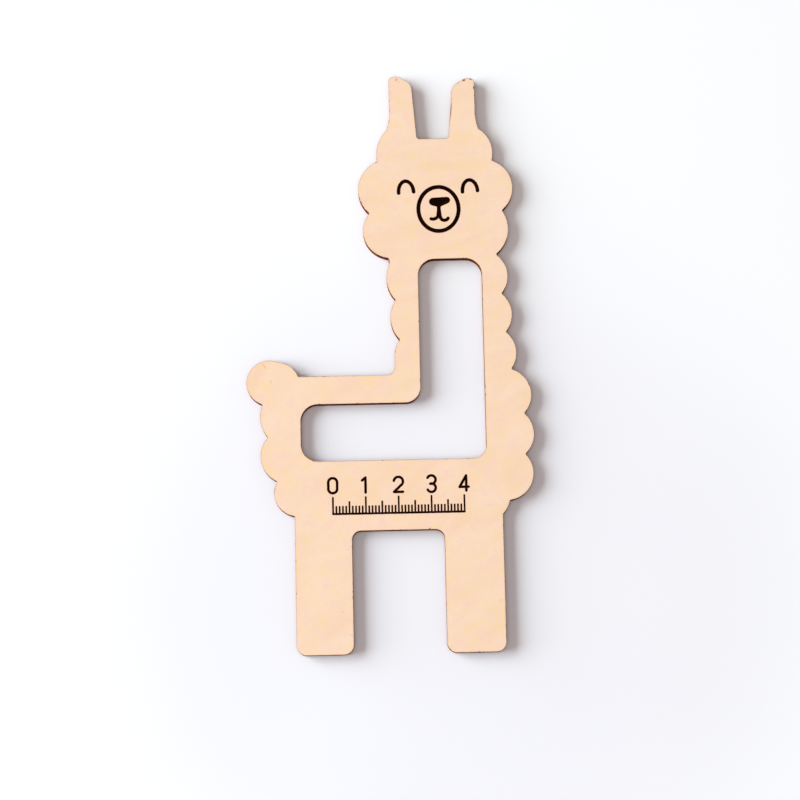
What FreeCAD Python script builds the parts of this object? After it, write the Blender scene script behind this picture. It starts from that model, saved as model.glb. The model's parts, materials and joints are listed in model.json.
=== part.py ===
import FreeCAD, Part
import math
import os

# A pom pom winding form: a flat, fluffy, long-necked animal cut by laser from three-ply wood.
# It lies on its back face. X runs from the tail to the chest, Y from the hooves to the ears
# and Z up through the sheet. The outline is drawn from the rear hoof's outer corner, and is
# then moved so that the origin lies on the table under the middle of the outline.
# All sizes are in millimetres.

# The sheet, from the table up
BACK_VENEER_THICKNESS = 0.6
GLUE_THICKNESS = 0.1
CORE_THICKNESS = 1.8
FRONT_VENEER_THICKNESS = 0.6
ENGRAVING_DEPTH = 0.25

# Legs and belly
REAR_LEG_WIDTH = 17.3
LEG_GAP = 28.1
FRONT_LEG_WIDTH = 17.9
LEG_LENGTH = 37.4
HOOF_CORNER_RADIUS = 3.0
CROTCH_CORNER_RADIUS = 2.8
BELLY_BAND = 21.5

# The L-shaped slot that the ties are passed through
SLOT_REAR_INSET = 2.2
BODY_SLOT_LENGTH = 56.6
BODY_SLOT_HEIGHT = 17.6
NECK_SLOT_WIDTH = 19.7
NECK_SLOT_RISE = 44.8
SLOT_REAR_RADIUS = 5.2
SLOT_BRISKET_RADIUS = 4.0
SLOT_THROAT_RADIUS = 5.2
SLOT_WITHERS_RADIUS = 4.8

# The bars round the slot, each measured at the crest of its highest curl
BACK_BAR = 8.7
WITHERS_RADIUS = 2.5
NAPE_BAR = 9.8
NAPE_TOP_INSET = 0.8
THROAT_BAR = 8.0
CHEST_BAR = 14.2

# Rows of fleece curls on the neck and chest, counted downwards. The cutter's beam leaves
# each notch between two curls slightly round.
NOTCH_RADIUS = 0.4
NAPE_CURLS = 3
NAPE_CURL_RADIUS = 10.0
NAPE_CURL_PITCH = 12.4
NAPE_CURL_DROP = 5.9
THROAT_CURLS = 3
THROAT_CURL_RADIUS = 8.4
THROAT_CURL_PITCH = 12.05
THROAT_CURL_DROP = 5.8
NECK_CURL_STEP = 1.0
CHEST_CURLS = 3
CHEST_CURL_RADIUS = 8.3
CHEST_CURL_PITCH = 12.1
CHEST_CURL_RISE = 1.8
MIDDLE_CHEST_CURL_OUT = 0.5

# Single curls on the body: how far each stands out of its leg's outer line, where it sits
# below the top of the back, and its radius
TAIL_CURL = (14.3, 1.75, 7.0)
TAIL_TIP_CURL = (11.3, 2.05, 6.6)
UPPER_RUMP_CURL = (10.2, 12.3, 9.9)
MIDDLE_RUMP_CURL = (10.2, 24.5, 8.5)
LOWER_RUMP_CURL = (6.2, 35.9, 7.1)
BRISKET_CURL = (2.4, 37.7, 8.4)

# The head is drawn about its own middle, which lies behind the middle of the neck slot.
# Each row of curls has a height above the slot, a half width at the crests and a radius.
HEAD_SET_BACK = 3.9
CHIN_SET_BACK = 0.2
CHIN_HEIGHT = 9.2
CHIN_HALF_WIDTH = 22.5
REAR_CHIN_RADIUS = 8.7
FRONT_CHIN_RADIUS = 10.2
CHEEK_HEIGHT = 22.2
CHEEK_HALF_WIDTH = 24.0
REAR_CHEEK_RADIUS = 9.9
FRONT_CHEEK_RADIUS = 9.2
CROWN_HEIGHT = 33.5
CROWN_HALF_WIDTH = 18.1
REAR_CROWN_RADIUS = 11.0
FRONT_CROWN_RADIUS = 9.2

# Ears and the gap between them
EAR_SET_BACK = 0.45
EAR_GAP_HALF_WIDTH = 4.95
EAR_GAP_FLOOR = 38.3
EAR_GAP_CORNER_RADIUS = 1.0
EAR_WIDTH = 8.45
EAR_TIP_WIDTH = 7.05
EAR_HEIGHT = 20.65
FRONT_EAR_SHORTER = 1.0
EAR_PEAK_INSET = 2.6
EAR_PEAK_RADIUS = 3.6
EAR_OUTER_DROP = 0.8
EAR_OUTER_TIP_RADIUS = 1.2
EAR_INNER_DROP = 2.9
EAR_INNER_TIP_RADIUS = 3.4
EAR_FLARE = 1.6
EAR_FLARE_HEIGHT = 6.6
EAR_FLARE_RADIUS = 14.0
EAR_ROOT_DEPTH = 5.0

# Burnt-in face marks, placed from the middle of the face and the top of the slot
FACE_SET_FORWARD = 0.85
EYE_SPACING = 19.85
EYE_HEIGHT = 21.25
EYE_HALF_WIDTH = 2.35
EYE_RISE = 3.6
EYE_TURN = 4.0
EYE_STROKE = 0.95
MUZZLE_HEIGHT = 15.8
MUZZLE_HALF_WIDTH = 6.25
MUZZLE_HALF_HEIGHT = 7.0
MUZZLE_STROKE = 1.05

# Nose and lip as (forward, up, radius) from the middle of the muzzle, and the two curls of the
# mouth as (forward, up)
REAR_NOSTRIL = (-1.65, 2.35, 1.15)
FRONT_NOSTRIL = (2.6, 2.75, 0.95)
NOSE_BOTTOM = (0.1, 1.2, 0.55)
UPPER_LIP = (0.1, 0.0, 0.48)
LOWER_LIP = (0.1, -1.9, 0.7)
REAR_MOUTH_CURL = [(-0.1, -2.1), (-0.8, -2.9), (-2.35, -3.1)]
FRONT_MOUTH_CURL = [(0.5, -2.4), (1.8, -3.65), (2.9, -3.0)]
MOUTH_STROKE = 0.85

# Burnt-in centimetre scale in the middle of the belly band
SCALE_CENTIMETRES = 4
SCALE_STEP = 10.0
SCALE_DIVISIONS = 10
SCALE_LINE_STROKE = 0.45
SCALE_TICK_STROKE = 0.35
SCALE_LONG_TICK = 5.0
SCALE_MIDDLE_TICK = 3.6
SCALE_SHORT_TICK = 2.2
NUMERAL_HEIGHT = 4.6
NUMERAL_HALF_WIDTH = 1.35
NUMERAL_STROKE = 0.6
NUMERAL_GAP = 1.4

# The strokes of each digit, in half widths across and quarters of the height up. Two points
# make a straight stroke and three a round one.
NUMERAL_STROKES = [
    [
        [(-1, 1.3), (0, 0), (1, 1.3)],
        [(1, 1.3), (1, 2.7)],
        [(1, 2.7), (0, 4), (-1, 2.7)],
        [(-1, 2.7), (-1, 1.3)],
    ],
    [[(0, 0), (0, 4)], [(0, 4), (-0.75, 3.25)]],
    [[(-1, 3), (0, 4), (0.8, 2)], [(0.8, 2), (-1, 0)], [(-1, 0), (1, 0)]],
    [[(-0.8, 3.6), (1, 3), (-0.2, 2)], [(-0.2, 2), (1, 1), (-0.8, 0.4)]],
    [[(0.5, 0), (0.5, 4)], [(0.5, 4), (-1, 1)], [(-1, 1), (1, 1)]],
]

# Lines that several shapes share, from the rear hoof's outer corner
CROTCH_REAR = REAR_LEG_WIDTH
CROTCH_FRONT = CROTCH_REAR + LEG_GAP
FRONT_LINE = CROTCH_FRONT + FRONT_LEG_WIDTH
SLOT_FLOOR = LEG_LENGTH + BELLY_BAND
BODY_SLOT_TOP = SLOT_FLOOR + BODY_SLOT_HEIGHT
NECK_SLOT_TOP = BODY_SLOT_TOP + NECK_SLOT_RISE
BACK_TOP = BODY_SLOT_TOP + BACK_BAR
SLOT_REAR = SLOT_REAR_INSET
SLOT_FRONT = SLOT_REAR + BODY_SLOT_LENGTH
NECK_SLOT_REAR = SLOT_FRONT - NECK_SLOT_WIDTH
HEAD_MIDDLE = SLOT_FRONT - NECK_SLOT_WIDTH / 2 - HEAD_SET_BACK
FACE_MIDDLE = HEAD_MIDDLE + FACE_SET_FORWARD
EAR_MIDDLE = HEAD_MIDDLE - EAR_SET_BACK
CORE_BOTTOM = BACK_VENEER_THICKNESS + GLUE_THICKNESS
CORE_TOP = CORE_BOTTOM + CORE_THICKNESS
FRONT_VENEER_BOTTOM = CORE_TOP + GLUE_THICKNESS
SHEET_TOP = FRONT_VENEER_BOTTOM + FRONT_VENEER_THICKNESS


def point(x, y):
    """A point in the plane of the sheet."""
    return FreeCAD.Vector(x, y, 0)


def arc(start, middle, end):
    """The edge of the circle through three points."""
    return Part.Arc(start, middle, end).toShape()


def line(start, end):
    """A straight edge."""
    return Part.LineSegment(start, end).toShape()


def face_of(edges):
    """The flat face inside a closed run of edges."""
    return Part.Face(Part.Wire(edges))


def joined(faces):
    """One face from several that overlap, merged as slabs so that no seams stay between them."""
    slabs = [face.extrude(FreeCAD.Vector(0, 0, 1)) for face in faces]
    merged = slabs[0].fuse(slabs[1:]).removeSplitter()
    return min(merged.Faces, key=lambda face: face.CenterOfMass.z)


def with_round_notches(face, radius):
    """The face with its sharp inward corners rounded, by growing it and shrinking it back."""
    grown = face.OuterWire.makeOffset2D(radius, 0, False, False, False)
    return Part.Face(grown.makeOffset2D(-radius, 0, False, False, False))


def disc(x, y, radius):
    """A round face."""
    return face_of([Part.Circle(point(x, y), FreeCAD.Vector(0, 0, 1), radius).toShape()])


def rounded_polygon(corners):
    """A face from (x, y, radius) corners, each rounded by an arc that is tangent to its sides."""
    edges = []
    stretches = []
    for index, (x, y, radius) in enumerate(corners):
        corner = point(x, y)
        before = point(*corners[index - 1][:2])
        after = point(*corners[(index + 1) % len(corners)][:2])
        back = (before - corner).normalize()
        ahead = (after - corner).normalize()
        half_angle = back.getAngle(ahead) / 2
        reach = radius / math.tan(half_angle)
        start = corner + back * reach
        end = corner + ahead * reach
        if radius:
            to_centre = (back + ahead).normalize()
            centre = corner + to_centre * (radius / math.sin(half_angle))
            stretches.append((start, centre - to_centre * radius, end))
        else:
            stretches.append((corner, None, corner))
    for index, (start, middle, end) in enumerate(stretches):
        if middle:
            edges.append(arc(start, middle, end))
        following = stretches[(index + 1) % len(stretches)][0]
        edges.append(line(end, following))
    return face_of(edges)


def ellipse(x, y, half_width, half_height):
    """An oval face with its axes along X and Y."""
    ends = [(half_width, point(x + half_width, y)), (half_height, point(x, y + half_height))]
    (_, minor_end), (_, major_end) = sorted(ends, key=lambda end: end[0])
    return face_of([Part.Ellipse(major_end, minor_end, point(x, y)).toShape()])


def oval_ring(x, y, half_width, half_height, stroke):
    """An oval line of one width."""
    outside = ellipse(x, y, half_width + stroke / 2, half_height + stroke / 2)
    inside = ellipse(x, y, half_width - stroke / 2, half_height - stroke / 2)
    return outside.cut(inside)


def tapered_stroke(start, end):
    """A straight line with round ends, between two (x, y, radius) points."""
    start_middle = point(*start[:2])
    end_middle = point(*end[:2])
    start_radius = start[2]
    end_radius = end[2]
    along = end_middle - start_middle
    lean = math.asin((start_radius - end_radius) / along.Length)
    along.normalize()
    across = point(-along.y, along.x) * math.cos(lean)
    left = along * math.sin(lean) + across
    right = along * math.sin(lean) - across
    return face_of([
        line(start_middle + left * start_radius, end_middle + left * end_radius),
        arc(*[end_middle + way * end_radius for way in (left, along, right)]),
        line(end_middle + right * end_radius, start_middle + right * start_radius),
        arc(*[start_middle + way * start_radius for way in (right, along * -1, left)]),
    ])


def straight_stroke(start, end, stroke):
    """A straight line of one width with round ends, between two (x, y) points."""
    return tapered_stroke((*start, stroke / 2), (*end, stroke / 2))


def curved_stroke(start, middle, end, stroke):
    """A line of one width with round ends along the circle through three (x, y) points."""
    circle = arc(point(*start), point(*middle), point(*end)).Curve
    radius = circle.Radius
    outward = [(point(*at) - circle.Center).normalize() for at in (start, middle, end)]
    outer = [circle.Center + way * (radius + stroke / 2) for way in outward]
    inner = [circle.Center + way * (radius - stroke / 2) for way in outward]
    turn = FreeCAD.Vector(0, 0, 1 if circle.Axis.z > 0 else -1)
    last_cap = point(*end) + turn.cross(outward[2]) * (stroke / 2)
    first_cap = point(*start) - turn.cross(outward[0]) * (stroke / 2)
    return face_of([
        arc(*outer),
        arc(outer[2], last_cap, inner[2]),
        arc(*reversed(inner)),
        arc(inner[0], first_cap, outer[0]),
    ])


def curl_row(count, radius, pitch, crest, step, side):
    """Curls one under another from the (x, y) crest of the first, each a step further forward.
    Side is 1 where their crests face the chest and -1 where they face the tail."""
    return [
        disc(crest[0] + step * index - side * radius, crest[1] - pitch * index, radius)
        for index in range(count)
    ]


def body_curl(line_x, side, curl):
    """A single curl of the body, from its (out, below back, radius) sizes."""
    out, below, radius = curl
    return disc(line_x + side * (out - radius), BACK_TOP - below, radius)


def frame_block():
    """Legs, belly, back, neck and chest as plain bars, before the slot is cut."""
    last_nape_y = NECK_SLOT_TOP - NAPE_CURL_DROP - NAPE_CURL_PITCH * (NAPE_CURLS - 1)
    last_nape_x = NECK_SLOT_REAR - NAPE_BAR + NECK_CURL_STEP * (NAPE_CURLS - 1)
    neck_rear = NECK_SLOT_REAR - NAPE_BAR / 2
    nape_top_x = NECK_SLOT_REAR - NAPE_BAR + NAPE_TOP_INSET
    nape_top_y = NECK_SLOT_TOP - NAPE_CURL_DROP
    chin_y = NECK_SLOT_TOP + CHIN_HEIGHT
    return rounded_polygon([
        (0, 0, HOOF_CORNER_RADIUS),
        (CROTCH_REAR, 0, HOOF_CORNER_RADIUS),
        (CROTCH_REAR, LEG_LENGTH, CROTCH_CORNER_RADIUS),
        (CROTCH_FRONT, LEG_LENGTH, CROTCH_CORNER_RADIUS),
        (CROTCH_FRONT, 0, HOOF_CORNER_RADIUS),
        (FRONT_LINE, 0, HOOF_CORNER_RADIUS),
        (FRONT_LINE, chin_y, 0),
        (nape_top_x, chin_y, 0),
        (nape_top_x, nape_top_y, 0),
        (neck_rear, nape_top_y, 0),
        (neck_rear, last_nape_y, 0),
        (last_nape_x, last_nape_y, 0),
        (last_nape_x, BACK_TOP, WITHERS_RADIUS),
        (0, BACK_TOP, 0),
    ])


def slot():
    """The L-shaped slot inside the outline."""
    return rounded_polygon([
        (SLOT_REAR, SLOT_FLOOR, SLOT_REAR_RADIUS),
        (SLOT_FRONT, SLOT_FLOOR, SLOT_BRISKET_RADIUS),
        (SLOT_FRONT, NECK_SLOT_TOP, SLOT_THROAT_RADIUS),
        (NECK_SLOT_REAR, NECK_SLOT_TOP, SLOT_THROAT_RADIUS),
        (NECK_SLOT_REAR, BODY_SLOT_TOP, SLOT_WITHERS_RADIUS),
        (SLOT_REAR, BODY_SLOT_TOP, SLOT_REAR_RADIUS),
    ])


def neck_and_body_curls():
    """All the fleece curls below the head."""
    nape = (NECK_SLOT_REAR - NAPE_BAR, NECK_SLOT_TOP - NAPE_CURL_DROP)
    throat = (SLOT_FRONT + THROAT_BAR, NECK_SLOT_TOP - THROAT_CURL_DROP)
    chest = (SLOT_FRONT + CHEST_BAR, BODY_SLOT_TOP + CHEST_CURL_RISE)
    curls = curl_row(NAPE_CURLS, NAPE_CURL_RADIUS, NAPE_CURL_PITCH, nape, NECK_CURL_STEP, -1)
    curls += curl_row(
        THROAT_CURLS, THROAT_CURL_RADIUS, THROAT_CURL_PITCH, throat, NECK_CURL_STEP, 1
    )
    chest_curls = curl_row(CHEST_CURLS, CHEST_CURL_RADIUS, CHEST_CURL_PITCH, chest, 0, 1)
    chest_curls[CHEST_CURLS // 2].translate(point(MIDDLE_CHEST_CURL_OUT, 0))
    curls += chest_curls
    curls.append(body_curl(FRONT_LINE, 1, BRISKET_CURL))
    for curl in (TAIL_CURL, TAIL_TIP_CURL, UPPER_RUMP_CURL, MIDDLE_RUMP_CURL, LOWER_RUMP_CURL):
        curls.append(body_curl(0, -1, curl))
    return curls


def head():
    """The crown, cheeks and chin, with the head filled in between their curls."""
    chin_middle = HEAD_MIDDLE - CHIN_SET_BACK
    rows = [
        (chin_middle, CHIN_HEIGHT, CHIN_HALF_WIDTH, REAR_CHIN_RADIUS, FRONT_CHIN_RADIUS),
        (HEAD_MIDDLE, CHEEK_HEIGHT, CHEEK_HALF_WIDTH, REAR_CHEEK_RADIUS, FRONT_CHEEK_RADIUS),
        (HEAD_MIDDLE, CROWN_HEIGHT, CROWN_HALF_WIDTH, REAR_CROWN_RADIUS, FRONT_CROWN_RADIUS),
    ]
    rear = []
    front = []
    for middle, height, half_width, rear_radius, front_radius in rows:
        y = NECK_SLOT_TOP + height
        rear.append((middle - half_width + rear_radius, y, rear_radius))
        front.append((middle + half_width - front_radius, y, front_radius))
    curls = [disc(*curl) for curl in rear + front]
    filling = rounded_polygon([(x, y, 0) for x, y, _ in front + rear[::-1]])
    return curls + [filling]


def ear(side, height):
    """One ear. Side is 1 for the front ear and -1 for the rear one."""
    floor = NECK_SLOT_TOP + EAR_GAP_FLOOR
    inner = EAR_MIDDLE + side * EAR_GAP_HALF_WIDTH
    outer = inner + side * EAR_WIDTH
    tip = floor + height
    return rounded_polygon([
        (inner, floor - EAR_ROOT_DEPTH, 0),
        (inner, floor, 0),
        (outer - side * EAR_TIP_WIDTH, tip - EAR_INNER_DROP, EAR_INNER_TIP_RADIUS),
        (outer - side * EAR_PEAK_INSET, tip, EAR_PEAK_RADIUS),
        (outer, tip - EAR_OUTER_DROP, EAR_OUTER_TIP_RADIUS),
        (outer, floor + EAR_FLARE_HEIGHT, EAR_FLARE_RADIUS),
        (outer + side * EAR_FLARE, floor, 0),
        (outer, floor - EAR_ROOT_DEPTH, 0),
    ])


def ear_gap():
    """The gap between the ears, cut down through the crown's curls."""
    floor = NECK_SLOT_TOP + EAR_GAP_FLOOR
    lean = EAR_WIDTH - EAR_TIP_WIDTH
    rear_rise = EAR_HEIGHT - EAR_INNER_DROP
    front_rise = rear_rise - FRONT_EAR_SHORTER
    rear = EAR_MIDDLE - EAR_GAP_HALF_WIDTH
    front = EAR_MIDDLE + EAR_GAP_HALF_WIDTH
    return rounded_polygon([
        (rear, floor, EAR_GAP_CORNER_RADIUS),
        (front, floor, EAR_GAP_CORNER_RADIUS),
        (front + lean, floor + front_rise, 0),
        (rear - lean, floor + rear_rise, 0),
    ])


def outline():
    """The whole outline as one face, with the slot and the ear gap cut out."""
    ears = [ear(-1, EAR_HEIGHT), ear(1, EAR_HEIGHT - FRONT_EAR_SHORTER)]
    whole = joined([frame_block()] + neck_and_body_curls() + head() + ears)
    rounded = with_round_notches(whole, NOTCH_RADIUS)
    return rounded.cut([slot(), ear_gap()]).removeSplitter().Faces[0]


def eye(x, y):
    """A closed eye: the upper half of an oval line with round feet, turned a little."""
    lowest = point(x - 2 * EYE_HALF_WIDTH, y - 2 * EYE_RISE)
    below = Part.makePlane(4 * EYE_HALF_WIDTH, 2 * EYE_RISE, lowest)
    arch = oval_ring(x, y, EYE_HALF_WIDTH, EYE_RISE, EYE_STROKE).cut(below)
    feet = [disc(x + end * EYE_HALF_WIDTH, y, EYE_STROKE / 2) for end in (-1, 1)]
    lid = joined([arch] + feet)
    lid.rotate(point(x, y), FreeCAD.Vector(0, 0, 1), EYE_TURN)
    return lid


def face_marks():
    """Two closed eyes, and a muzzle ring with a nose and a mouth."""
    eye_y = NECK_SLOT_TOP + EYE_HEIGHT
    muzzle_y = NECK_SLOT_TOP + MUZZLE_HEIGHT
    rear_nostril, front_nostril, nose_bottom, upper_lip, lower_lip = [
        (FACE_MIDDLE + forward, muzzle_y + up, radius)
        for forward, up, radius in (REAR_NOSTRIL, FRONT_NOSTRIL, NOSE_BOTTOM, UPPER_LIP, LOWER_LIP)
    ]
    nose_and_mouth = [
        tapered_stroke(rear_nostril, front_nostril),
        tapered_stroke(rear_nostril, nose_bottom),
        tapered_stroke(front_nostril, nose_bottom),
        tapered_stroke(nose_bottom, upper_lip),
        tapered_stroke(upper_lip, lower_lip),
    ]
    for curl in (REAR_MOUTH_CURL, FRONT_MOUTH_CURL):
        points = [(FACE_MIDDLE + forward, muzzle_y + up) for forward, up in curl]
        nose_and_mouth.append(curved_stroke(*points, MOUTH_STROKE))
    return [
        eye(FACE_MIDDLE - EYE_SPACING / 2, eye_y),
        eye(FACE_MIDDLE + EYE_SPACING / 2, eye_y),
        oval_ring(FACE_MIDDLE, muzzle_y, MUZZLE_HALF_WIDTH, MUZZLE_HALF_HEIGHT, MUZZLE_STROKE),
        joined(nose_and_mouth),
    ]


def numeral(digit, x, foot):
    """The strokes of a plain digit, centred on x with its foot on a line."""
    strokes = []
    for across_and_up in NUMERAL_STROKES[digit]:
        ends = [
            (x + across * NUMERAL_HALF_WIDTH, foot + up * NUMERAL_HEIGHT / 4)
            for across, up in across_and_up
        ]
        draw = straight_stroke if len(ends) == 2 else curved_stroke
        strokes.append(draw(*ends, NUMERAL_STROKE))
    return strokes


def centimetre_scale():
    """A line with ticks at every millimetre and a digit over every centimetre."""
    length = SCALE_STEP * SCALE_CENTIMETRES
    height = SCALE_LONG_TICK + NUMERAL_GAP + NUMERAL_HEIGHT
    start = (FRONT_LINE - length) / 2
    foot = LEG_LENGTH + (BELLY_BAND - height) / 2
    rule = [straight_stroke((start, foot), (start + length, foot), SCALE_LINE_STROKE)]
    for tick in range(SCALE_CENTIMETRES * SCALE_DIVISIONS + 1):
        x = start + tick * SCALE_STEP / SCALE_DIVISIONS
        height = SCALE_SHORT_TICK
        if tick % (SCALE_DIVISIONS // 2) == 0:
            height = SCALE_MIDDLE_TICK
        if tick % SCALE_DIVISIONS == 0:
            height = SCALE_LONG_TICK
        rule.append(straight_stroke((x, foot), (x, foot + height), SCALE_TICK_STROKE))
    marks = [joined(rule)]
    for digit in range(SCALE_CENTIMETRES + 1):
        strokes = numeral(digit, start + digit * SCALE_STEP, foot + SCALE_LONG_TICK + NUMERAL_GAP)
        marks.append(joined(strokes))
    return marks


def layer(shape, bottom, thickness):
    """A ply or glue film of the sheet, as a solid between two heights."""
    solid = shape.extrude(FreeCAD.Vector(0, 0, thickness))
    solid.translate(FreeCAD.Vector(0, 0, bottom))
    return solid


def build():
    """Every layer of the sheet by name, in place about the origin."""
    shape = outline()
    blank = shape.BoundBox
    to_origin = FreeCAD.Vector(-blank.Center.x, -blank.Center.y, 0)
    front_veneer = layer(shape, FRONT_VENEER_BOTTOM, FRONT_VENEER_THICKNESS)
    recesses = [
        layer(mark, SHEET_TOP - ENGRAVING_DEPTH, 2 * ENGRAVING_DEPTH)
        for mark in face_marks() + centimetre_scale()
    ]
    layers = {
        "back_face_veneer": layer(shape, 0, BACK_VENEER_THICKNESS),
        "back_glue_line": layer(shape, BACK_VENEER_THICKNESS, GLUE_THICKNESS),
        "core_ply": layer(shape, CORE_BOTTOM, CORE_THICKNESS),
        "front_glue_line": layer(shape, CORE_TOP, GLUE_THICKNESS),
        "front_face_veneer": front_veneer.cut(recesses),
    }
    for solid in layers.values():
        solid.translate(to_origin)
    return layers


def main():
    """Write each layer to its own file and say how large it is."""
    os.makedirs("parts", exist_ok=True)
    for name, solid in build().items():
        box = solid.BoundBox
        print(
            f"{name}: {len(solid.Solids)} solid, valid {solid.isValid()}, {solid.Volume:.1f} mm3, "
            f"{box.XLength:.2f} x {box.YLength:.2f} x {box.ZLength:.2f} mm"
        )
        solid.exportStep(os.path.join("parts", name + ".step"))


if __name__ == "__main__":
    main()
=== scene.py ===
"""Finish and studio for a pom pom winding form, a fluffy animal cut by laser from maple plywood.

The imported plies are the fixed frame. Each wooden ply gets a dressed copy with softened cut edges,
dished engraving and bands of heat tint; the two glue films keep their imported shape.
"""

import json
import logging
import math
from collections.abc import Callable
from dataclasses import dataclass, field
from enum import Enum
from typing import Any

import bmesh
import bpy
from mathutils import Euler, Matrix, Vector
from mathutils.bvhtree import BVHTree

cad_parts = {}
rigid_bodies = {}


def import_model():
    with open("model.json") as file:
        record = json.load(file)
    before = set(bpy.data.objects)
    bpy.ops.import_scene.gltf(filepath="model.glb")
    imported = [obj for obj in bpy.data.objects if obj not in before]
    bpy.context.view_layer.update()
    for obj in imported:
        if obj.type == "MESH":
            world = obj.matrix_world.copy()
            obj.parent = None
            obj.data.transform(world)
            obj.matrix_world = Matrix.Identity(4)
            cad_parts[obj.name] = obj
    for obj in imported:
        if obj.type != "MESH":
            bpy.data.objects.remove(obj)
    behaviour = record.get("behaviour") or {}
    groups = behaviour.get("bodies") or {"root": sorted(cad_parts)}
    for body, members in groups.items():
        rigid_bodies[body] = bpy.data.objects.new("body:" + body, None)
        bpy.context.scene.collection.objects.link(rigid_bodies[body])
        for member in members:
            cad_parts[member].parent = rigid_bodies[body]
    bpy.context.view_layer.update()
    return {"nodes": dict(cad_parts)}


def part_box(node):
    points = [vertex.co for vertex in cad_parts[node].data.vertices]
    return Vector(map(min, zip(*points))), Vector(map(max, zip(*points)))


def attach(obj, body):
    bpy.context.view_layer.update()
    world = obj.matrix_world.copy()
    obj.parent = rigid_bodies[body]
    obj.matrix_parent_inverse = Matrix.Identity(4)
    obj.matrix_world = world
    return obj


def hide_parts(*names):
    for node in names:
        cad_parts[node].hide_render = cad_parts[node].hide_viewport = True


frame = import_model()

MM = 0.001
LOG = logging.getLogger("winding_form")

# How near two corners lie when they are one corner
WELD = 0.002 * MM

# How near a face lies to a height when it is at that height
LEVEL = 0.01 * MM

# How little two faces turn when they are one flat face, and when they are one round wall
FLAT_ANGLE = math.radians(0.5)
ROUND_ANGLE = math.radians(35)

# How much of a flat face's normal lies along Z at least, and of an upright face's at most
FLAT = 0.99
UPRIGHT = 0.5

# A wave texture makes one band in this many units at a scale of one
WAVE_BAND = math.tau / 20

# The inputs of a mix node: how much of the second there is, then the two values or the two colours
SHARE = 0
FIRST = 2
SECOND = 3
UNDER = 6
OVER = 7

# The output of a mix node that gives a colour
MIXED = 2


def linear(colour: str) -> tuple[float, float, float, float]:
    """Turn an sRGB hex colour into linear light.

    Args:
        colour: Six hex digits after a hash sign.

    Returns:
        Red, green, blue and an alpha of one.
    """
    channels = [int(colour[start:start + 2], 16) / 255 for start in (1, 3, 5)]
    light = [c / 12.92 if c <= 0.04045 else ((c + 0.055) / 1.055) ** 2.4 for c in channels]
    return (light[0], light[1], light[2], 1.0)


def add_node(
    tree: bpy.types.NodeTree,
    kind: str,
    inputs: dict[int | str, Any] | None = None,
    stops: list[tuple[float, str]] | None = None,
    **settings: Any,
) -> bpy.types.Node:
    """Add a node with its settings, and set or link its inputs.

    Args:
        tree: The node tree that the node joins.
        kind: The node's type name.
        inputs: What each socket, by name or number, is linked to or set to.
        stops: The places and hex colours of a colour ramp.
        **settings: The node's own options.

    Returns:
        The new node.
    """
    node = tree.nodes.new(kind)
    for name, value in settings.items():
        setattr(node, name, value)
    for name, value in (inputs or {}).items():
        if isinstance(value, bpy.types.NodeSocket):
            tree.links.new(value, node.inputs[name])
        else:
            node.inputs[name].default_value = value
    for index, (place, colour) in enumerate(stops or []):
        elements = node.color_ramp.elements
        stop = elements[index] if index < 2 else elements.new(place)
        stop.position = place
        stop.color = linear(colour)
    return node


def place_in_mm(tree: bpy.types.NodeTree) -> bpy.types.NodeSocket:
    """The point on the object, in millimetres."""
    where = add_node(tree, "ShaderNodeTexCoord").outputs["Object"]
    scaled = add_node(tree, "ShaderNodeVectorMath", {0: where, "Scale": 1 / MM}, operation="SCALE")
    return scaled.outputs[0]


@dataclass(frozen=True)
class Finish:
    """A finish, which each kind builds from its own patterns round one shader."""

    name: str

    def material(self) -> bpy.types.Material:
        """Build the material."""
        material = bpy.data.materials.new(self.name)
        material.use_nodes = True
        tree = material.node_tree
        tree.nodes.clear()
        shader = add_node(tree, "ShaderNodeBsdfPrincipled", self.surface(tree))
        add_node(tree, "ShaderNodeOutputMaterial", {"Surface": shader.outputs[0]})
        return material

    def surface(self, tree: bpy.types.NodeTree) -> dict[int | str, Any]:
        """What the shader's inputs are linked to or set to."""
        raise NotImplementedError


class Side(Enum):
    """The two flat sides of a ply, by the way that they face."""

    FRONT = 1
    BACK = -1


@dataclass(frozen=True)
class Spot:
    """A small natural or burnt mark at one place on the wood, in millimetres and degrees."""

    x: float
    y: float
    length: float
    width: float
    turn: float
    strength: float


@dataclass(frozen=True)
class Grain:
    """How the wood's figure runs, how large its parts are in millimetres, and how they mix.

    Real flecks are about 0.1 mm wide, which is too fine to show, so they are drawn coarser.
    """

    head_turn: float = 4.0
    leg_turn: float = 38.0
    turn_from: float = -30.0
    turn_to: float = 25.0
    cloud_length: float = 15.0
    cloud_width: float = 8.0
    cloud_waver: float = 0.6
    ring_pitch: float = 5.2
    ring_waver: float = 9.0
    fleck_length: float = 1.8
    fleck_width: float = 0.35
    mottle_size: float = 4.5
    mottle_roughness: float = 0.8
    sapwood_range: tuple[float, float] = (0.5, 0.74)
    blush_range: tuple[float, float] = (0.5, 0.26)
    ring_share: float = 0.07
    fleck_share: float = 0.3


@dataclass(frozen=True)
class Burn:
    """How the laser's heat has gone into the wood.

    Each reach is where the heat begins to fade and where it has faded out, in millimetres from the
    cut or from a mark. Each range is the part of a noise's values that shows.
    """

    cut_tint_reach: tuple[float, float] = (0.04, 0.55)
    mark_tint_reach: tuple[float, float] = (0.02, 0.18)
    tint_strength: float = 0.32
    char_reach: tuple[float, float] = (0.02, 0.12)
    char_beside_mark: float = 0.05
    soot_beside_mark: tuple[float, float] = (0.01, 0.08)
    licks_per_mm: float = 1.1
    lick_range: tuple[float, float] = (0.6, 0.8)
    lick_depth: float = 0.25
    smudges_per_mm: float = 1.6
    smudge_range: tuple[float, float] = (0.52, 0.85)


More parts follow.
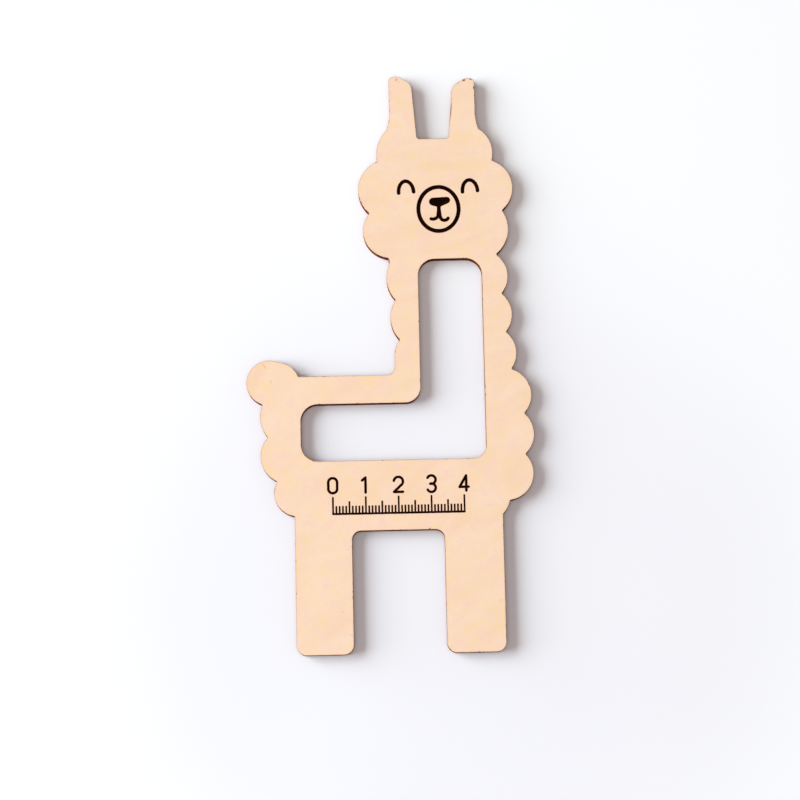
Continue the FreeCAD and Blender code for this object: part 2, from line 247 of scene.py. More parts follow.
@dataclass(frozen=True)
class MapleVeneer(Finish):
    """Maple face ply, cut round the log, sanded and left raw.

    It looks pale, with clouds of cream and blush and short flecks. The laser leaves its cut edges
    brown, a band of honey tint beside them, and its engraving nearly black.
    """

    name: str = "raw_sanded_maple"
    clean: str = "#FAD9BB"
    late_wood: str = "#F6D0AA"
    early_wood: str = "#FCE0C8"
    sapwood: str = "#FBD7A6"
    blush: str = "#FAD0BE"
    mineral: str = "#C99A66"
    honey: str = "#EDB983"
    burnt_edge: str = "#8C4228"
    sooty_edge: str = "#4A140C"
    engraving: str = "#180704"
    ash: str = "#2A2424"
    roughness: float = 0.6
    char_roughness: float = 0.9
    specular: float = 0.08
    relief: float = 0.03 * MM
    relief_strength: float = 0.5
    grain: Grain = Grain()
    burn: Burn = Burn()
    streaks: tuple[Spot, ...] = ()
    scorches: tuple[Spot, ...] = ()

    def surface(self, tree: bpy.types.NodeTree) -> dict[int | str, Any]:
        """Wood, heat tint and char on one surface."""
        place = place_in_mm(tree)
        along = self._along_grain(tree, place)
        fleck = self._fleck(tree, along)
        wood = self._wood_colour(tree, place, along, fleck)
        streaks = cut_edge_streaks(tree, place)
        tinted, char = self._with_heat(tree, place, wood, streaks)
        height = add_node(tree, "ShaderNodeMix", {SHARE: char, FIRST: fleck, SECOND: streaks})
        bump = add_node(tree, "ShaderNodeBump", {
            "Strength": self.relief_strength,
            "Distance": self.relief,
            "Height": height.outputs[0],
        })
        rough = add_node(tree, "ShaderNodeMapRange", {
            "Value": char,
            "To Min": self.roughness,
            "To Max": self.char_roughness,
        })
        shine = add_node(tree, "ShaderNodeMapRange", {
            "Value": char,
            "To Min": self.specular,
            "To Max": 0.0,
        })
        return {
            "Base Color": tinted,
            "Roughness": rough.outputs[0],
            "Normal": bump.outputs[0],
            "Specular IOR Level": shine.outputs[0],
        }

    def _along_grain(
        self, tree: bpy.types.NodeTree, place: bpy.types.NodeSocket
    ) -> bpy.types.NodeSocket:
        """The point turned so that X runs along the grain, which leans over from head to legs."""
        height = add_node(tree, "ShaderNodeSeparateXYZ", {"Vector": place}).outputs["Y"]
        turn = add_node(tree, "ShaderNodeMapRange", {
            "Value": height,
            "From Min": self.grain.turn_from,
            "From Max": self.grain.turn_to,
            "To Min": -math.radians(self.grain.leg_turn),
            "To Max": -math.radians(self.grain.head_turn),
        }, interpolation_type="SMOOTHSTEP")
        turned = add_node(tree, "ShaderNodeVectorRotate", {
            "Vector": place,
            "Angle": turn.outputs[0],
        }, rotation_type="Z_AXIS")
        return turned.outputs[0]

    def _fleck(
        self, tree: bpy.types.NodeTree, along: bpy.types.NodeSocket
    ) -> bpy.types.NodeSocket:
        """Short fine streaks where the knife has opened the wood's vessels."""
        grain = self.grain
        stretched = add_node(tree, "ShaderNodeMapping", {
            "Vector": along,
            "Scale": (1 / grain.fleck_length, 1 / grain.fleck_width, 1),
        })
        noise = add_node(tree, "ShaderNodeTexNoise", {
            "Vector": stretched.outputs[0],
            "Scale": 1.0,
            "Detail": 3.0,
        })
        return noise.outputs["Fac"]

    def _wood_colour(
        self,
        tree: bpy.types.NodeTree,
        place: bpy.types.NodeSocket,
        along: bpy.types.NodeSocket,
        fleck: bpy.types.NodeSocket,
    ) -> bpy.types.NodeSocket:
        """The clean wood: clouds, wavering rings and flecks, a soft mottle and mineral streaks."""
        grain = self.grain
        stretched = add_node(tree, "ShaderNodeMapping", {
            "Vector": along,
            "Scale": (1 / grain.cloud_length, 1 / grain.cloud_width, 1),
        })
        clouds = add_node(tree, "ShaderNodeTexNoise", {
            "Vector": stretched.outputs[0],
            "Scale": 1.0,
            "Detail": 3.0,
            "Distortion": grain.cloud_waver,
        })
        rings = add_node(tree, "ShaderNodeTexWave", {
            "Vector": along,
            "Scale": WAVE_BAND / grain.ring_pitch,
            "Distortion": grain.ring_waver,
            "Detail": 3.0,
            "Detail Scale": 0.35,
            "Detail Roughness": 0.55,
        }, wave_type="BANDS", bands_direction="Y", wave_profile="SIN")
        tone = add_node(tree, "ShaderNodeMix", {
            SHARE: grain.ring_share,
            FIRST: clouds.outputs["Fac"],
            SECOND: rings.outputs["Fac"],
        })
        tone = add_node(tree, "ShaderNodeMix", {
            SHARE: grain.fleck_share,
            FIRST: tone.outputs[0],
            SECOND: fleck,
        })
        wood = add_node(tree, "ShaderNodeValToRGB", {"Fac": tone.outputs[0]}, stops=[
            (0.2, self.early_wood),
            (0.8, self.late_wood),
            (0.5, self.clean),
        ]).outputs[0]
        mottle = add_node(tree, "ShaderNodeTexNoise", {
            "Vector": place,
            "Scale": 1 / grain.mottle_size,
            "Detail": 5.0,
            "Roughness": grain.mottle_roughness,
        })
        tints = ((self.sapwood, grain.sapwood_range), (self.blush, grain.blush_range))
        for colour, (least, most) in tints:
            share = add_node(tree, "ShaderNodeMapRange", {
                "Value": mottle.outputs["Fac"],
                "From Min": least,
                "From Max": most,
            })
            wood = add_node(tree, "ShaderNodeMix", {
                SHARE: share.outputs[0],
                UNDER: wood,
                OVER: linear(colour),
            }, data_type="RGBA").outputs[MIXED]
        return self._with_spots(tree, place, wood, self.streaks, self.mineral)

    def _with_spots(
        self,
        tree: bpy.types.NodeTree,
        place: bpy.types.NodeSocket,
        ground: bpy.types.NodeSocket,
        spots: tuple[Spot, ...],
        colour: str,
    ) -> bpy.types.NodeSocket:
        """Lay spots of one colour over the ground, each fading from its middle to its rim.

        Args:
            tree: The material's tree.
            place: The point in millimetres.
            ground: The colour under the spots.
            spots: Where they are.
            colour: What they are coloured.

        Returns:
            The colour with the spots.
        """
        # A spot is full out to this share of its radius, and goes right through the sheet
        full_within = 0.2
        depth = 1000
        for spot in spots:
            centred = add_node(tree, "ShaderNodeMapping", {
                "Vector": place,
                "Location": (spot.x, spot.y, 0),
                "Rotation": (0, 0, math.radians(spot.turn)),
                "Scale": (spot.length / 2, spot.width / 2, depth),
            }, vector_type="TEXTURE")
            reach = add_node(tree, "ShaderNodeVectorMath", {0: centred.outputs[0]}, operation="LENGTH")
            strength = add_node(tree, "ShaderNodeMapRange", {
                "Value": reach.outputs["Value"],
                "From Min": full_within,
                "From Max": 1.0,
                "To Min": spot.strength,
                "To Max": 0.0,
            }, interpolation_type="SMOOTHSTEP")
            ground = add_node(tree, "ShaderNodeMix", {
                SHARE: strength.outputs[0],
                UNDER: ground,
                OVER: linear(colour),
            }, data_type="RGBA").outputs[MIXED]
        return ground

    def _with_heat(
        self,
        tree: bpy.types.NodeTree,
        place: bpy.types.NodeSocket,
        wood: bpy.types.NodeSocket,
        streaks: bpy.types.NodeSocket,
    ) -> tuple[bpy.types.NodeSocket, bpy.types.NodeSocket]:
        """Lay honey tint and char over the wood, by the distance from the cut and the marks.

        Args:
            tree: The material's tree.
            place: The point in millimetres.
            wood: The clean wood's colour.
            streaks: The cut edge's streaks.

        Returns:
            The colour, and how charred each point is.
        """
        burn = self.burn
        from_cut = add_node(tree, "ShaderNodeAttribute", attribute_name="from_cut").outputs["Fac"]
        from_mark = add_node(tree, "ShaderNodeAttribute", attribute_name="from_mark").outputs["Fac"]
        licks = add_node(tree, "ShaderNodeTexNoise", {
            "Vector": place,
            "Scale": burn.licks_per_mm,
            "Detail": 3.0,
        })
        lick = add_node(tree, "ShaderNodeMapRange", {
            "Value": licks.outputs["Fac"],
            "From Min": burn.lick_range[0],
            "From Max": burn.lick_range[1],
            "To Min": 0.0,
            "To Max": burn.lick_depth,
        })
        nicked = add_node(tree, "ShaderNodeMath", {0: from_cut, 1: lick.outputs[0]}, operation="SUBTRACT")
        cut_heat = add_node(tree, "ShaderNodeMapRange", {
            "Value": nicked.outputs[0],
            "From Min": burn.cut_tint_reach[0],
            "From Max": burn.cut_tint_reach[1],
            "To Min": burn.tint_strength,
            "To Max": 0.0,
        }, interpolation_type="SMOOTHSTEP")
        mark_heat = add_node(tree, "ShaderNodeMapRange", {
            "Value": from_mark,
            "From Min": burn.mark_tint_reach[0],
            "From Max": burn.mark_tint_reach[1],
            "To Min": burn.tint_strength,
            "To Max": 0.0,
        })
        heat = add_node(tree, "ShaderNodeMath", {
            0: cut_heat.outputs[0],
            1: mark_heat.outputs[0],
        }, operation="MAXIMUM")
        beside_mark = add_node(tree, "ShaderNodeMath", {
            0: from_mark,
            1: burn.char_beside_mark,
        }, operation="SUBTRACT")
        nearest = add_node(tree, "ShaderNodeMath", {
            0: nicked.outputs[0],
            1: beside_mark.outputs[0],
        }, operation="MINIMUM")
        char = add_node(tree, "ShaderNodeMapRange", {
            "Value": nearest.outputs[0],
            "From Min": burn.char_reach[0],
            "From Max": burn.char_reach[1],
            "To Min": 1.0,
            "To Max": 0.0,
        })
        edge = add_node(tree, "ShaderNodeMix", {
            SHARE: streaks,
            UNDER: linear(self.burnt_edge),
            OVER: linear(self.sooty_edge),
        }, data_type="RGBA")
        smudges = add_node(tree, "ShaderNodeTexNoise", {
            "Vector": place,
            "Scale": burn.smudges_per_mm,
            "Detail": 4.0,
        })
        ash = add_node(tree, "ShaderNodeMapRange", {
            "Value": smudges.outputs["Fac"],
            "From Min": burn.smudge_range[0],
            "From Max": burn.smudge_range[1],
        })
        mark = add_node(tree, "ShaderNodeMix", {
            SHARE: ash.outputs[0],
            UNDER: linear(self.engraving),
            OVER: linear(self.ash),
        }, data_type="RGBA")
        in_mark = add_node(tree, "ShaderNodeMapRange", {
            "Value": from_mark,
            "From Min": burn.soot_beside_mark[0],
            "From Max": burn.soot_beside_mark[1],
            "To Min": 1.0,
            "To Max": 0.0,
        })
        burnt = add_node(tree, "ShaderNodeMix", {
            SHARE: in_mark.outputs[0],
            UNDER: edge.outputs[MIXED],
            OVER: mark.outputs[MIXED],
        }, data_type="RGBA")
        tinted = add_node(tree, "ShaderNodeMix", {
            SHARE: heat.outputs[0],
            UNDER: wood,
            OVER: linear(self.honey),
        }, data_type="RGBA")
        scorched = self._with_spots(tree, place, tinted.outputs[MIXED], self.scorches, self.sooty_edge)
        coloured = add_node(tree, "ShaderNodeMix", {
            SHARE: char.outputs[0],
            UNDER: scorched,
            OVER: burnt.outputs[MIXED],
        }, data_type="RGBA")
        return coloured.outputs[MIXED], char.outputs[0]


def cut_edge_streaks(
    tree: bpy.types.NodeTree, place: bpy.types.NodeSocket
) -> bpy.types.NodeSocket:
    """Upright streaks down a cut edge, from the laser's pulses.

    The pulses are 0.1 mm apart, which is too fine to show, so the streaks are drawn 0.5 mm wide.

    Args:
        tree: The material's tree.
        place: The point in millimetres.

    Returns:
        Zero on a clean streak and one on a sooty one.
    """
    streak_width = 0.5
    streak_length = 9.0
    stretched = add_node(tree, "ShaderNodeMapping", {
        "Vector": place,
        "Scale": (1 / streak_width, 1 / streak_width, 1 / streak_length),
    })
    noise = add_node(tree, "ShaderNodeTexNoise", {
        "Vector": stretched.outputs[0],
        "Scale": 1.0,
        "Detail": 4.0,
        "Roughness": 0.6,
    })
    sooty = add_node(tree, "ShaderNodeMapRange", {
        "Value": noise.outputs["Fac"],
        "From Min": 0.35,
        "From Max": 0.7,
    })
    return sooty.outputs[0]


@dataclass(frozen=True)
class ScorchedCore(Finish):
    """The middle ply of softer wood, seen only at the cut, where the laser has browned it.

    It looks darker than the faces' edges, with upright streaks and paler end grain between them.
    """

    name: str = "laser_scorched_core"
    brown: str = "#6A2B1D"
    sooty: str = "#360D09"
    pale: str = "#9C4229"
    roughness: float = 0.85
    specular: float = 0.05
    relief: float = 0.05 * MM
    relief_strength: float = 0.6
    grains_per_mm: float = 1.7
    pale_range: tuple[float, float] = (0.5, 0.75)
    most_pale: float = 0.7

    def surface(self, tree: bpy.types.NodeTree) -> dict[int | str, Any]:
        """Upright streaks over a coarse end grain."""
        place = place_in_mm(tree)
        streaks = cut_edge_streaks(tree, place)
        end_grain = add_node(tree, "ShaderNodeTexNoise", {
            "Vector": place,
            "Scale": self.grains_per_mm,
            "Detail": 4.0,
        })
        pale_share = add_node(tree, "ShaderNodeMapRange", {
            "Value": end_grain.outputs["Fac"],
            "From Min": self.pale_range[0],
            "From Max": self.pale_range[1],
            "To Min": 0.0,
            "To Max": self.most_pale,
        })
        brown = add_node(tree, "ShaderNodeMix", {
            SHARE: pale_share.outputs[0],
            UNDER: linear(self.brown),
            OVER: linear(self.pale),
        }, data_type="RGBA")
        colour = add_node(tree, "ShaderNodeMix", {
            SHARE: streaks,
            UNDER: brown.outputs[MIXED],
            OVER: linear(self.sooty),
        }, data_type="RGBA")
        bump = add_node(tree, "ShaderNodeBump", {
            "Strength": self.relief_strength,
            "Distance": self.relief,
            "Height": streaks,
        })
        return {
            "Base Color": colour.outputs[MIXED],
            "Roughness": self.roughness,
            "Normal": bump.outputs[0],
            "Specular IOR Level": self.specular,
        }


@dataclass(frozen=True)
class CharredGlue(Finish):
    """Urea glue film, burnt at the cut. It looks like a thin, slightly glossy black line."""

    name: str = "charred_urea_glue"
    black: str = "#1F0E0A"
    brown: str = "#43201A"
    roughness: float = 0.6
    specular: float = 0.1
    relief: float = 0.03 * MM
    relief_strength: float = 0.4
    beads_per_mm: float = 2.5

    def surface(self, tree: bpy.types.NodeTree) -> dict[int | str, Any]:
        """Small beads of lighter char."""
        beads = add_node(tree, "ShaderNodeTexNoise", {
            "Vector": place_in_mm(tree),
            "Scale": self.beads_per_mm,
            "Detail": 3.0,
        })
        colour = add_node(tree, "ShaderNodeValToRGB", {"Fac": beads.outputs["Fac"]}, stops=[
            (0.4, self.black),
            (0.7, self.brown),
        ])
        bump = add_node(tree, "ShaderNodeBump", {
            "Strength": self.relief_strength,
            "Distance": self.relief,
            "Height": beads.outputs["Fac"],
        })
        return {
            "Base Color": colour.outputs[0],
            "Roughness": self.roughness,
            "Normal": bump.outputs[0],
            "Specular IOR Level": self.specular,
        }


@dataclass(frozen=True)
class MattBoard(Finish):
    """White matt card on the table.

    It looks even, with a cool cast and the faintest clouding; painted light makes it whiter away from the
    form, which leaves painted shade round the form.
    Its places and reaches are in metres.
    """

    name: str = "white_matt_card"
    white: str = "#F9F8FB"
    shade: str = "#F5F4F8"
    # Painted light: the card's colour far from the form, whiter than near it
    painted_light_white: str = "#FEFEFF"
    middle: tuple[float, float, float] = (0.02, -0.07, 0.0)
    painted_light_from: float = 0.07
    painted_light_to: float = 0.14
    clouds_per_metre: float = 6.0
    roughness: float = 0.9
    specular: float = 0.2

    def surface(self, tree: bpy.types.NodeTree) -> dict[int | str, Any]:
        """Wide soft clouds, and painted light that whitens the card away from the form."""
        where = add_node(tree, "ShaderNodeTexCoord").outputs["Object"]
        clouds = add_node(tree, "ShaderNodeTexNoise", {
            "Vector": where,
            "Scale": self.clouds_per_metre,
            "Detail": 2.0,
        })
        colour = add_node(tree, "ShaderNodeValToRGB", {"Fac": clouds.outputs["Fac"]}, stops=[
            (0.35, self.white),
            (0.65, self.shade),
        ])
        # Painted light and shade: the card whitens with distance from the form's middle, so it stays
        # greyer round the form
        centred = add_node(tree, "ShaderNodeVectorMath", {0: where, 1: self.middle}, operation="SUBTRACT")
        reach = add_node(tree, "ShaderNodeVectorMath", {0: centred.outputs[0]}, operation="LENGTH")
        painted_light_share = add_node(tree, "ShaderNodeMapRange", {
            "Value": reach.outputs["Value"],
            "From Min": self.painted_light_from,
            "From Max": self.painted_light_to,
        }, interpolation_type="SMOOTHSTEP")
        colour = add_node(tree, "ShaderNodeMix", {
            SHARE: painted_light_share.outputs[0],
            UNDER: colour.outputs[0],
            OVER: linear(self.painted_light_white),
        }, data_type="RGBA")
        return {
            "Base Color": colour.outputs[MIXED],
            "Roughness": self.roughness,
            "Specular IOR Level": self.specular,
        }


@dataclass
class Workpiece:
    """A copy of a ply's mesh in edit mode, picked in code and worked by operators.

    Attributes:
        node: The CAD node whose mesh is copied.
        name: The new piece's name.
    """

    node: str
    name: str
    obj: bpy.types.Object = field(init=False)

    def __post_init__(self) -> None:
        """Weld the copy's loose triangles and merge those that lie in one plane."""
        mesh = frame["nodes"][self.node].data.copy()
        mesh.materials.clear()
        self.obj = bpy.data.objects.new(self.name, mesh)
        bpy.context.scene.collection.objects.link(self.obj)
        bpy.ops.object.select_all(action="DESELECT")
        self.obj.select_set(True)
        bpy.context.view_layer.objects.active = self.obj
        bpy.ops.mesh.customdata_custom_splitnormals_clear()
        bpy.ops.object.mode_set(mode="EDIT")
        bpy.ops.mesh.select_mode(type="FACE")
        bpy.ops.mesh.select_all(action="SELECT")
        bpy.ops.mesh.remove_doubles(threshold=WELD)
        bpy.ops.mesh.dissolve_limited(angle_limit=FLAT_ANGLE)

    def pick(self, kind: str, wanted: Callable[[Any], bool]) -> None:
        """Select the faces or edges that are wanted, and nothing else.

        Args:
            kind: FACE or EDGE.
            wanted: Says whether one face or edge is wanted.
        """
        bpy.ops.mesh.select_mode(type=kind)
        bpy.ops.mesh.select_all(action="DESELECT")
        mesh = bmesh.from_edit_mesh(self.obj.data)
        for element in mesh.faces if kind == "FACE" else mesh.edges:
            element.select = wanted(element)
        mesh.select_flush_mode()
        bmesh.update_edit_mesh(self.obj.data)

    def pick_level(self, height: float, side: Side) -> None:
        """Select the flat faces at one height that face one way."""
        self.pick("FACE", lambda face: (
            face.normal.z * side.value > FLAT
            and abs(face.calc_center_median().z - height) < LEVEL
        ))

    def round_over(self, height: float, side: Side, radius: float, steps: int = 3) -> None:
        """Round the rims of a flat side, and leave the flat inside them selected.

        Args:
            height: The flat side's height.
            side: The way that it faces.
            radius: The rims' radius.
            steps: How many bands make the round.
        """
        self.pick_level(height, side)
        bpy.ops.transform.translate(value=(0, 0, -side.value * radius))
        for step in range(steps):
            before = math.pi / 2 * step / steps
            after = math.pi / 2 * (step + 1) / steps
            bpy.ops.mesh.inset(
                thickness=radius * (math.cos(before) - math.cos(after)),
                depth=radius * (math.sin(after) - math.sin(before)),
                use_even_offset=True,
            )

    def walls(self, wanted: Callable[[bmesh.types.BMFace], bool]) -> BVHTree:
        """The upright faces that are wanted, as a tree that finds the nearest of them."""
        mesh = bmesh.from_edit_mesh(self.obj.data)
        corners: list[Vector] = []
        faces: list[list[int]] = []
        for face in mesh.faces:
            if abs(face.normal.z) < UPRIGHT and wanted(face):
                faces.append([len(corners) + index for index in range(len(face.verts))])
                corners.extend(vert.co.copy() for vert in face.verts)
        return BVHTree.FromPolygons(corners, faces)

    def close_openings(self, wanted: Callable[[bmesh.types.BMEdge], bool]) -> None:
        """Fill the open loops that are wanted with flat faces, and leave those selected."""
        self.pick("EDGE", lambda edge: edge.is_boundary and wanted(edge))
        bpy.ops.mesh.fill(use_beauty=True)
        bpy.ops.mesh.select_mode(type="FACE")

    def linked_to_lowest(self) -> set[int]:
        """The corners that hang together with the lowest corner."""
        bpy.ops.mesh.select_mode(type="VERT")
        bpy.ops.mesh.select_all(action="DESELECT")
        mesh = bmesh.from_edit_mesh(self.obj.data)
        min(mesh.verts, key=lambda vert: vert.co.z).select = True
        bpy.ops.mesh.select_linked()
        return {vert.index for vert in mesh.verts if vert.select}

    def finish_mesh(self) -> None:
        """Leave edit mode, with round walls smooth and corners crisp."""
        bpy.ops.mesh.select_all(action="DESELECT")
        bpy.ops.object.mode_set(mode="OBJECT")
        bpy.ops.object.shade_smooth_by_angle(angle=ROUND_ANGLE)

    def measure(self, attribute: str, walls: BVHTree, below: float) -> None:
        """Store each point's distance from some walls, in millimetres.

        Args:
            attribute: The name that the material reads.
            walls: The walls measured from.
            below: Points lower than this lie in an engraving, and count as less than nothing.
        """
        furthest = 3.0 * MM
        stored = self.obj.data.attributes.new(attribute, "FLOAT", "POINT")
        for vert in self.obj.data.vertices:
            found = walls.find_nearest(vert.co, furthest)
            distance = furthest if found[3] is None else found[3]
            sign = -1 if vert.co.z < below else 1
            stored.data[vert.index].value = sign * distance / MM


def reaches_through(face: bmesh.types.BMFace, low: float, high: float) -> bool:
    """Whether a wall belongs to the cut outline and not to an engraved mark."""
    heights = [vert.co.z for vert in face.verts]
    return min(heights) < low + LEVEL and max(heights) > high - LEVEL


@dataclass
class Ply:
    """A wooden ply of the sheet.

    Attributes:
        node: The CAD node that it stands for.
        name: The new piece's name.
        slot: The record's material slot; not used.
        material: Its finish.
        shown: The flat side that shows on the finished sheet, if one does.
        handled_rim: The radius of the rims that hands touch.
        glue_rim: The radius of the rims beside a glue film, where the cut has burnt them back.
        tint_steps: How far apart the loops are that carry the heat tint beside the cut.
    """

    node: str
    name: str
    slot: str
    material: bpy.types.Material
    shown: Side | None = None
    handled_rim: float = 0.08 * MM
    glue_rim: float = 0.04 * MM
    tint_steps: tuple[float, ...] = (0.09 * MM, 0.2 * MM, 0.4 * MM)

    def build(self) -> bpy.types.Object:
        """Model the ply, dress it and let it ride in place of its CAD node."""
        low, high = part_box(self.node)
        work = Workpiece(self.node, self.name)
        cut_walls = work.walls(lambda face: reaches_through(face, low.z, high.z))
        mark_walls = work.walls(lambda face: not reaches_through(face, low.z, high.z))
        for side, height in ((Side.FRONT, high.z), (Side.BACK, low.z)):
            if side is self.shown:
                self._shape_shown_side(work, side, height)
            else:
                work.round_over(height, side, self.glue_rim)
        self._shape_marks(work, low.z, high.z)
        work.finish_mesh()
        no_engraving = low.z - LEVEL
        rim_foot = high.z - self.handled_rim
        engraved_below = rim_foot - LEVEL if self.shown is Side.FRONT else no_engraving
        work.measure("from_cut", cut_walls, no_engraving)
        work.measure("from_mark", mark_walls, engraved_below)
        work.obj.data.materials.append(self.material)
        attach(work.obj, "root")
        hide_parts(self.node)
        LOG.info("%s: %d faces", self.name, len(work.obj.data.polygons))
        return work.obj

    def _shape_shown_side(self, work: Workpiece, side: Side, height: float) -> None:
        """Round the rims, then lay loops beside the cut for the heat tint to fade over."""
        work.round_over(height, side, self.handled_rim)
        bpy.ops.mesh.inset(thickness=self.tint_steps[0], use_even_offset=True)
        bpy.ops.mesh.delete(type="FACE")
        body = work.linked_to_lowest()
        work.close_openings(lambda edge: edge.verts[0].index in body)
        for step in self.tint_steps[1:]:
            bpy.ops.mesh.inset(thickness=step, use_even_offset=True)
        bpy.ops.mesh.delete(type="FACE")
        work.close_openings(lambda edge: True)

    def _shape_marks(self, work: Workpiece, low: float, high: float) -> None:
        """Nothing is engraved in a plain ply."""


@dataclass
class MarkedPly(Ply):
    """The front face ply, with marks burnt into it.

    Attributes:
        dish_inset: How far the marks' floors are level beside their walls.
        dish_depth: How much deeper the middle of each floor is.
    """

    dish_inset: float = 0.08 * MM
    dish_depth: float = 0.03 * MM

    def _shape_marks(self, work: Workpiece, low: float, high: float) -> None:
        """Dish the floor of every mark, as a round beam leaves it."""
        rim_foot = high - self.handled_rim
        work.pick("FACE", lambda face: (
            face.normal.z > FLAT
            and low + LEVEL < face.calc_center_median().z < rim_foot - LEVEL
        ))
        bpy.ops.mesh.inset(thickness=self.dish_inset, depth=-self.dish_depth, use_even_offset=True)


@dataclass
class PlywoodSheet:
    """The winding form: three plies of wood and the glue films between them."""

    maple: MapleVeneer = MapleVeneer(
        streaks=(
            Spot(-38.3, -1.3, 3.6, 0.6, -52.0, 0.4),
            Spot(-36.3, -6.2, 2.2, 0.6, -60.0, 0.3),
            Spot(-12.9, -84.1, 1.3, 0.5, -35.0, 0.45),
            Spot(-15.6, -77.0, 0.6, 1.0, 0.0, 0.35),
            Spot(32.3, -74.5, 1.2, 0.8, 60.0, 0.3),
            Spot(4.0, 88.9, 1.6, 1.1, 20.0, 0.65),
            Spot(4.9, 88.1, 1.4, 0.6, -35.0, 0.3),
        ),
        scorches=(
            Spot(27.3, 88.7, 1.5, 0.9, -20.0, 0.95),
            Spot(25.2, 88.3, 1.5, 0.9, 25.0, 0.9),
            Spot(28.2, 85.8, 0.7, 1.3, 0.0, 0.9),
            Spot(20.9, 78.4, 9.0, 0.6, 83.0, 0.6),
            Spot(-29.5, -61.4, 0.5, 0.9, 0.0, 0.7),
            Spot(0.6, 30.9, 0.6, 2.4, 8.0, 0.8),
            Spot(11.3, -52.3, 0.9, 0.5, 20.0, 0.9),
            Spot(1.1, -13.4, 0.9, 0.4, 10.0, 0.7),
            Spot(-11.3, -4.7, 1.6, 0.35, 0.0, 0.5),
            Spot(-13.3, -4.7, 0.8, 0.3, 0.0, 0.4),
        ),
    )
    core: ScorchedCore = ScorchedCore()
    glue: CharredGlue = CharredGlue()

    def build(self) -> list[bpy.types.Object]:
        """Build the wooden plies and dress the glue films."""
        maple = self.maple.material()
        core = self.core.material()
        glue = self.glue.material()
        plies = [
            MarkedPly("front_face_veneer", "front_ply", "maple_veneer", maple, Side.FRONT),
            Ply("core_ply", "middle_ply", "core_wood", core),
            Ply("back_face_veneer", "back_ply", "maple_veneer", maple, Side.BACK),
        ]
        for node in ("front_glue_line", "back_glue_line"):
            film = frame["nodes"][node]
            film.data.materials.clear()
            film.data.materials.append(glue)
            LOG.info("%s: dressed", node)
        return [ply.build() for ply in plies]


@dataclass
class Table:
    """A round white table that fills the view, with a rolled edge."""

    radius: float = 2.5
    thickness: float = 0.03
    edge_radius: float = 0.01
    sides: int = 128
    edge_steps: int = 4

    def build(self) -> bpy.types.Object:
        """Model the table top with its upper face at the height that the form lies on."""
        bpy.ops.object.select_all(action="DESELECT")
        bpy.ops.mesh.primitive_circle_add(vertices=self.sides, radius=self.radius, fill_type="NGON")
        top = bpy.context.object
        top.name = "table_top"
        bpy.ops.object.mode_set(mode="EDIT")
        bpy.ops.mesh.select_all(action="SELECT")
        bpy.ops.mesh.extrude_region_move(TRANSFORM_OT_translate={"value": (0, 0, -self.thickness)})
        bpy.ops.mesh.select_all(action="SELECT")
        bpy.ops.mesh.normals_make_consistent(inside=False)
        bpy.ops.object.mode_set(mode="OBJECT")
        bevel = top.modifiers.new("rolled_edge", "BEVEL")
        bevel.width = self.edge_radius
        bevel.segments = self.edge_steps
        bpy.ops.object.modifier_apply(modifier=bevel.name)
        top.data.materials.append(MattBoard().material())
        LOG.info("table_top: %d faces", len(top.data.polygons))
        return top


@dataclass(frozen=True)
class SoftLamp:
    """A large rectangular lamp.

    Attributes:
        name: What the lamp is called.
        place: Where its middle is, in metres.
        facing: The way that it shines.
        width: How wide it is, in metres.
        height: How high it is, in metres.
        power: Its power, in watts.
        colour: The colour of its light.
    """

    name: str
    place: tuple[float, float, float]
    facing: tuple[float, float, float]
    width: float
    height: float
    power: float
    colour: str

    def build(self) -> bpy.types.Object:
        """Hang the lamp and turn it to face its way."""
        data = bpy.data.lights.new(self.name, "AREA")
        data.shape = "RECTANGLE"
        data.size = self.width
        data.size_y = self.height
        data.energy = self.power
        data.color = linear(self.colour)[:3]
        lamp = bpy.data.objects.new(self.name, data)
        bpy.context.scene.collection.objects.link(lamp)
        turned = Vector(self.facing).to_track_quat("-Z", "Y").to_matrix().to_4x4()
        lamp.matrix_world = Matrix.Translation(self.place) @ turned
        LOG.info("%s: lit", self.name)
        return lamp


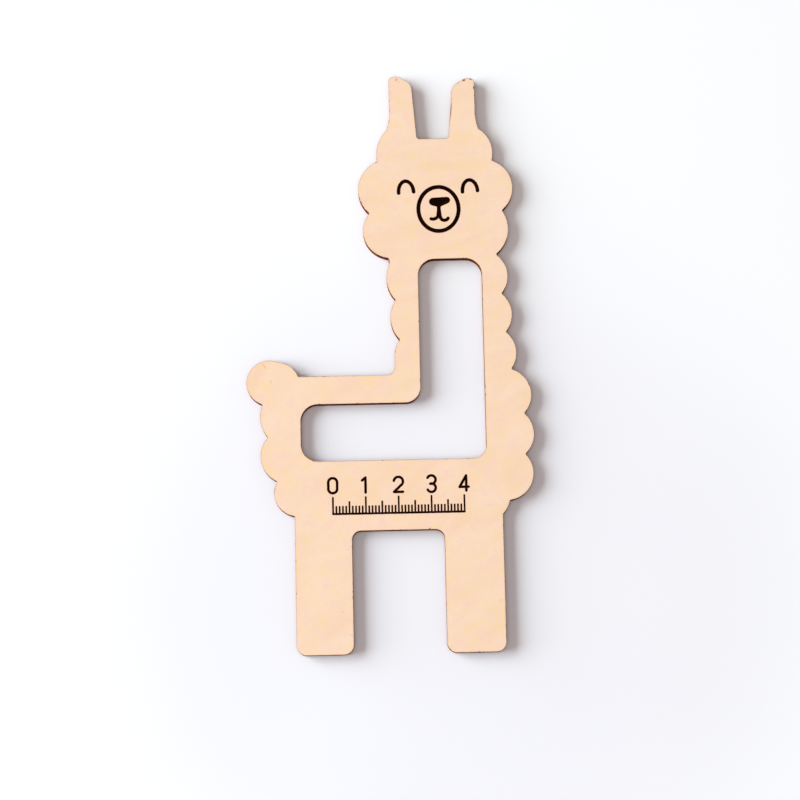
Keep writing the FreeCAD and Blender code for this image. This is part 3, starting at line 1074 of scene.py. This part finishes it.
@dataclass
class Daylight:
    """Soft light from a tall window by the tail, a skylight nearly overhead and a pale room."""

    room_colour: str = "#FFEDE7"
    room_strength: float = 0.23
    backdrop: str = "#F9F8FB"
    window: SoftLamp = SoftLamp(
        name="window",
        place=(-3.52, 0.66, 1.76),
        facing=(3.52, -0.66, 0.0),
        width=3.74,
        height=3.52,
        power=402.0,
        colour="#E8F4F9",
    )
    skylight: SoftLamp = SoftLamp(
        name="skylight",
        place=(0.0, -0.25, 1.48),
        facing=(0.0, 0.25, -1.48),
        width=1.1,
        height=1.1,
        power=6.2,
        colour="#F6ECE9",
    )

    def build(self) -> None:
        """Light the scene; the backdrop is seen directly and in reflections, and lights nothing."""
        world = bpy.data.worlds.new("pale_room")
        bpy.context.scene.world = world
        world.use_nodes = True
        tree = world.node_tree
        tree.nodes.clear()
        rays = add_node(tree, "ShaderNodeLightPath")
        seen = add_node(tree, "ShaderNodeMath", {
            0: rays.outputs["Is Camera Ray"],
            1: rays.outputs["Is Glossy Ray"],
        }, operation="MAXIMUM")
        room = add_node(tree, "ShaderNodeBackground", {
            "Color": linear(self.room_colour),
            "Strength": self.room_strength,
        })
        backdrop = add_node(tree, "ShaderNodeBackground", {
            "Color": linear(self.backdrop),
            "Strength": 1.0,
        })
        mixed = add_node(tree, "ShaderNodeMixShader", {
            0: seen.outputs[0],
            1: room.outputs[0],
            2: backdrop.outputs[0],
        })
        add_node(tree, "ShaderNodeOutputWorld", {"Surface": mixed.outputs[0]})
        LOG.info("pale_room: lit")
        self.window.build()
        self.skylight.build()


@dataclass
class OverheadCamera:
    """The camera above the form, leaning back a little towards the hooves."""

    aim: tuple[float, float, float] = (3.10 * MM, -12.11 * MM, 0.0)
    distance: float = 719.95 * MM
    lean: float = math.radians(8.986)
    roll: float = math.radians(-1.2)
    lens: float = 105.3
    sensor: float = 36.0
    nearest: float = 0.01
    furthest: float = 20.0

    def build(self) -> bpy.types.Object:
        """Place the camera and make it the scene's own."""
        data = bpy.data.cameras.new("overhead_camera")
        data.lens = self.lens
        data.sensor_width = self.sensor
        data.clip_start = self.nearest
        data.clip_end = self.furthest
        camera = bpy.data.objects.new("overhead_camera", data)
        bpy.context.scene.collection.objects.link(camera)
        turned = Euler((self.lean, 0, self.roll), "XYZ").to_matrix().to_4x4()
        back = Matrix.Translation((0, 0, self.distance))
        camera.matrix_world = Matrix.Translation(self.aim) @ turned @ back
        bpy.context.scene.camera = camera
        LOG.info("overhead_camera: placed")
        return camera


def main() -> None:
    """Build the camera, the light, the table and the form, in that order."""
    logging.basicConfig(level=logging.INFO)
    bpy.context.scene.view_settings.view_transform = "Standard"
    OverheadCamera().build()
    Daylight().build()
    Table().build()
    PlywoodSheet().build()


if __name__ == "__main__":
    main()
